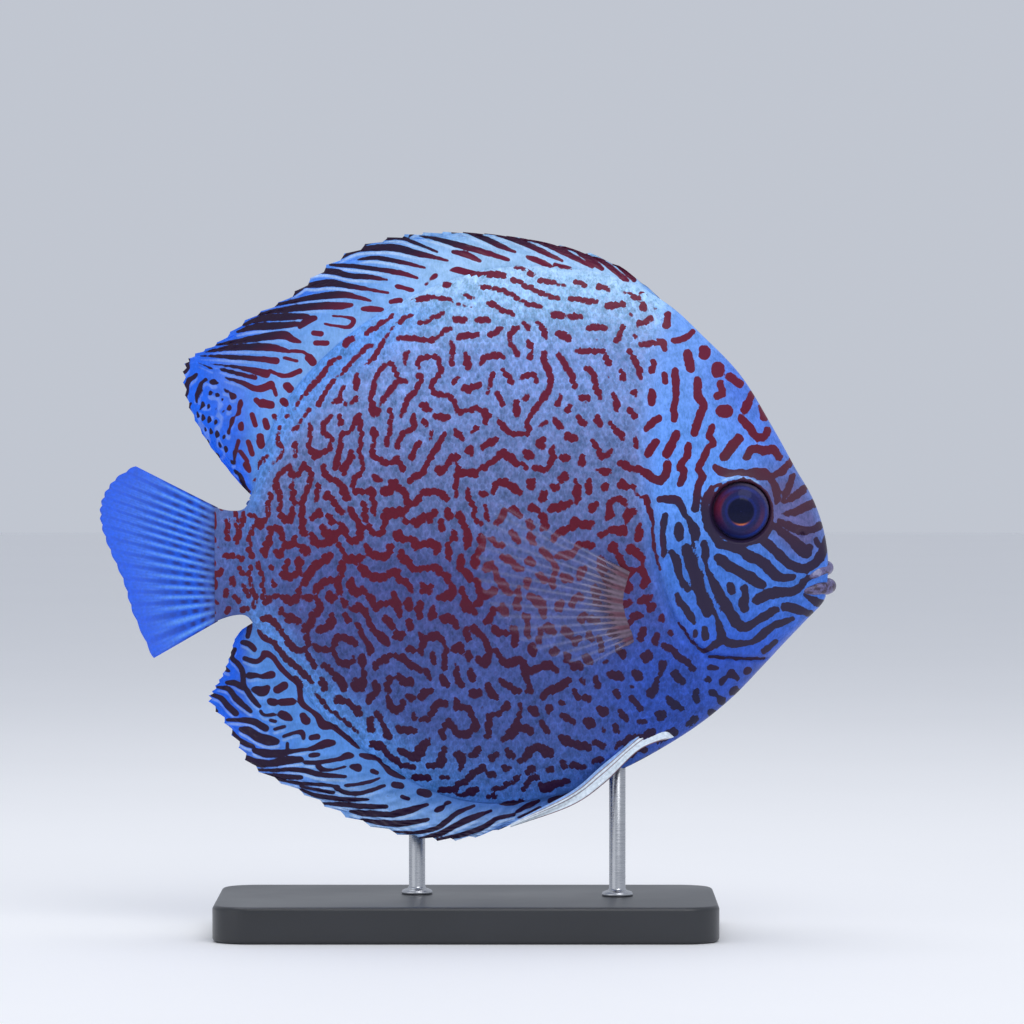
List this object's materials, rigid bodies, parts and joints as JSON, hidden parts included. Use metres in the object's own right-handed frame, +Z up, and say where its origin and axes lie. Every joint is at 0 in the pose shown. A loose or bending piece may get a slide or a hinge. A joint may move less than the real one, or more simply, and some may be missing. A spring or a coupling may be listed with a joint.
{
  "type": "discus fish display model",
  "caption": "Life-size still model of an adult discus fish, a tall disc-shaped aquarium fish with spread fins, held on a plain display stand.",
  "frame": {"origin": "middle of the underside of the stand's base, on the surface that it rests on", "axes": "+X towards the snout, +Z up, the fish's right side faces -Y"},
  "size_m": [0.1625, 0.06, 0.1542],
  "materials": {
    "skin": "moist scaled skin, lavender blue with dark maroon maze markings, brighter blue at the back and the head",
    "lips": "smooth moist skin, pale blue lips with dark lines",
    "fins": "thin rayed fin skin, blue and white stripes over near-black navy",
    "clear_fins": "thin see-through rayed fin skin with a blue tint",
    "pelvic_rays": "white to pale blue soft rays with dark red lines",
    "eyes": "wet clear cornea over a dark navy iris with a red arc",
    "stand": "satin black base with a softened edge",
    "stand_rods": "brushed steel rods"
  },
  "bodies": {
    "root": {"head": "skin", "torso": "skin", "tail_stalk": "skin", "gill_cover_right": "skin", "gill_cover_left": "skin", "upper_lip": "lips", "lower_lip": "lips", "dorsal_fin": "fins", "anal_fin": "fins", "caudal_fin": "clear_fins", "pectoral_fin_right": "clear_fins", "pectoral_fin_left": "clear_fins", "pelvic_fin_right": "pelvic_rays", "pelvic_fin_left": "pelvic_rays", "eye_right": "eyes", "eye_left": "eyes", "stand_base": "stand", "stand_rod_front": "stand_rods", "stand_rod_back": "stand_rods"}
  },
  "joints": []
}
